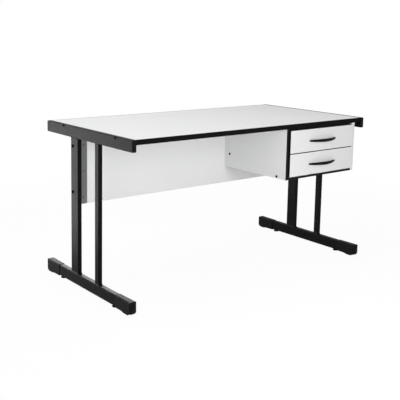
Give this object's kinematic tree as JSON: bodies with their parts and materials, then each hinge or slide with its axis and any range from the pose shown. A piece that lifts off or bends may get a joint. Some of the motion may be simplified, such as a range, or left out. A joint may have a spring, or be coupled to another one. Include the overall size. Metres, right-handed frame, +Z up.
{
  "type": "writing desk",
  "caption": "Writing desk with a light grey worktop between black steel side frames, a modesty panel and a drawer pedestal under its right end.",
  "frame": {"origin": "On the floor, in the middle of the bounding box of the closed desk.", "axes": "+X to the right along the worktop, +Y from the user to the back, +Z up."},
  "size_m": [1.4142, 0.7294, 0.72],
  "materials": {
    "laminate": "light grey melamine laminate with a fine matt texture",
    "edge_band": "black ABS edge band",
    "black_steel": "black powder coat, fine texture, satin",
    "black_plastic": "black moulded plastic, matt",
    "melamine": "light grey melamine board",
    "zinc": "zinc plated sheet steel",
    "tray_board": "pale grey foil wrapped board",
    "hardboard": "pale painted hardboard",
    "runner_steel": "cream white epoxy coated steel",
    "nylon": "natural white nylon"
  },
  "bodies": {
    "desk_frame": {"worktop_board": "laminate", "worktop_front_edge_band": "edge_band", "worktop_back_edge_band": "edge_band", "left_top_rail": "black_steel", "left_front_column": "black_steel", "left_rear_column": "black_steel", "left_foot_bar": "black_steel", "left_front_rail_cap": "black_plastic", "left_front_foot_shoe": "black_plastic", "left_rear_rail_cap": "black_plastic", "left_rear_foot_shoe": "black_plastic", "left_panel_bracket": "zinc", "left_lower_panel_bolt": "black_steel", "left_upper_panel_bolt": "black_steel", "right_top_rail": "black_steel", "right_front_column": "black_steel", "right_rear_column": "black_steel", "right_foot_bar": "black_steel", "right_front_rail_cap": "black_plastic", "right_front_foot_shoe": "black_plastic", "right_rear_rail_cap": "black_plastic", "right_rear_foot_shoe": "black_plastic", "right_panel_bracket": "zinc", "right_lower_panel_bolt": "black_steel", "right_upper_panel_bolt": "black_steel", "modesty_panel": "melamine", "pedestal_left_side": "melamine", "pedestal_right_side": "melamine", "pedestal_floor": "melamine", "pedestal_back": "melamine", "pedestal_front_stretcher": "melamine", "lower_left_cabinet_runner": "runner_steel", "lower_right_cabinet_runner": "runner_steel", "upper_left_cabinet_runner": "runner_steel", "upper_right_cabinet_runner": "runner_steel"},
    "lower_drawer": {"lower_drawer_front": "melamine", "lower_drawer_tray": "tray_board", "lower_drawer_bottom": "hardboard", "lower_drawer_handle": "black_plastic", "lower_left_drawer_runner": "runner_steel", "lower_right_drawer_runner": "runner_steel"},
    "upper_drawer": {"upper_drawer_front": "melamine", "upper_drawer_tray": "tray_board", "upper_drawer_bottom": "hardboard", "upper_drawer_handle": "black_plastic", "upper_left_drawer_runner": "runner_steel", "upper_right_drawer_runner": "runner_steel"},
    "lower_left_front_roller": {"lower_left_front_roller": "nylon"},
    "lower_left_rear_roller": {"lower_left_rear_roller": "nylon"},
    "lower_right_front_roller": {"lower_right_front_roller": "nylon"},
    "lower_right_rear_roller": {"lower_right_rear_roller": "nylon"},
    "upper_left_front_roller": {"upper_left_front_roller": "nylon"},
    "upper_left_rear_roller": {"upper_left_rear_roller": "nylon"},
    "upper_right_front_roller": {"upper_right_front_roller": "nylon"},
    "upper_right_rear_roller": {"upper_right_rear_roller": "nylon"},
    "left_front_levelling_foot": {"left_front_levelling_foot": "black_plastic"},
    "left_rear_levelling_foot": {"left_rear_levelling_foot": "black_plastic"},
    "right_front_levelling_foot": {"right_front_levelling_foot": "black_plastic"},
    "right_rear_levelling_foot": {"right_rear_levelling_foot": "black_plastic"}
  },
  "joints": [
    {"name": "lower_drawer_slide", "type": "slide", "parent": "desk_frame", "child": "lower_drawer", "axis": [0, -1, 0], "range_m": [0, 0.26]},
    {"name": "upper_drawer_slide", "type": "slide", "parent": "desk_frame", "child": "upper_drawer", "axis": [0, -1, 0], "range_m": [0, 0.26]},
    {"name": "lower_left_front_roller_spin", "type": "hinge", "parent": "desk_frame", "child": "lower_left_front_roller", "pos_m": [0.19205, -0.30505, 0.4909], "axis": [1, 0, 0], "continuous": true},
    {"name": "lower_left_rear_roller_spin", "type": "hinge", "parent": "lower_drawer", "child": "lower_left_rear_roller", "pos_m": [0.19175, 0.02565, 0.494], "axis": [1, 0, 0], "continuous": true},
    {"name": "lower_right_front_roller_spin", "type": "hinge", "parent": "desk_frame", "child": "lower_right_front_roller", "pos_m": [0.62095, -0.30505, 0.4909], "axis": [1, 0, 0], "continuous": true},
    {"name": "lower_right_rear_roller_spin", "type": "hinge", "parent": "lower_drawer", "child": "lower_right_rear_roller", "pos_m": [0.62125, 0.02565, 0.494], "axis": [1, 0, 0], "continuous": true},
    {"name": "upper_left_front_roller_spin", "type": "hinge", "parent": "desk_frame", "child": "upper_left_front_roller", "pos_m": [0.19205, -0.30505, 0.60205], "axis": [1, 0, 0], "continuous": true},
    {"name": "upper_left_rear_roller_spin", "type": "hinge", "parent": "upper_drawer", "child": "upper_left_rear_roller", "pos_m": [0.19175, 0.02565, 0.60515], "axis": [1, 0, 0], "continuous": true},
    {"name": "upper_right_front_roller_spin", "type": "hinge", "parent": "desk_frame", "child": "upper_right_front_roller", "pos_m": [0.62095, -0.30505, 0.60205], "axis": [1, 0, 0], "continuous": true},
    {"name": "upper_right_rear_roller_spin", "type": "hinge", "parent": "upper_drawer", "child": "upper_right_rear_roller", "pos_m": [0.62125, 0.02565, 0.60515], "axis": [1, 0, 0], "continuous": true},
    {"name": "left_front_levelling_foot_screw", "type": "slide", "parent": "desk_frame", "child": "left_front_levelling_foot", "axis": [0, 0, -1], "range_m": [0, 0.012]},
    {"name": "left_rear_levelling_foot_screw", "type": "slide", "parent": "desk_frame", "child": "left_rear_levelling_foot", "axis": [0, 0, -1], "range_m": [0, 0.012]},
    {"name": "right_front_levelling_foot_screw", "type": "slide", "parent": "desk_frame", "child": "right_front_levelling_foot", "axis": [0, 0, -1], "range_m": [0, 0.012]},
    {"name": "right_rear_levelling_foot_screw", "type": "slide", "parent": "desk_frame", "child": "right_rear_levelling_foot", "axis": [0, 0, -1], "range_m": [0, 0.012]}
  ],
  "couplings": [
    {"joint": "lower_left_front_roller_spin", "follows": "lower_drawer_slide", "rad_per_m": 111.11},
    {"joint": "lower_left_rear_roller_spin", "follows": "lower_drawer_slide", "rad_per_m": 111.11},
    {"joint": "lower_right_front_roller_spin", "follows": "lower_drawer_slide", "rad_per_m": 111.11},
    {"joint": "lower_right_rear_roller_spin", "follows": "lower_drawer_slide", "rad_per_m": 111.11},
    {"joint": "upper_left_front_roller_spin", "follows": "upper_drawer_slide", "rad_per_m": 111.11},
    {"joint": "upper_left_rear_roller_spin", "follows": "upper_drawer_slide", "rad_per_m": 111.11},
    {"joint": "upper_right_front_roller_spin", "follows": "upper_drawer_slide", "rad_per_m": 111.11},
    {"joint": "upper_right_rear_roller_spin", "follows": "upper_drawer_slide", "rad_per_m": 111.11}
  ]
}
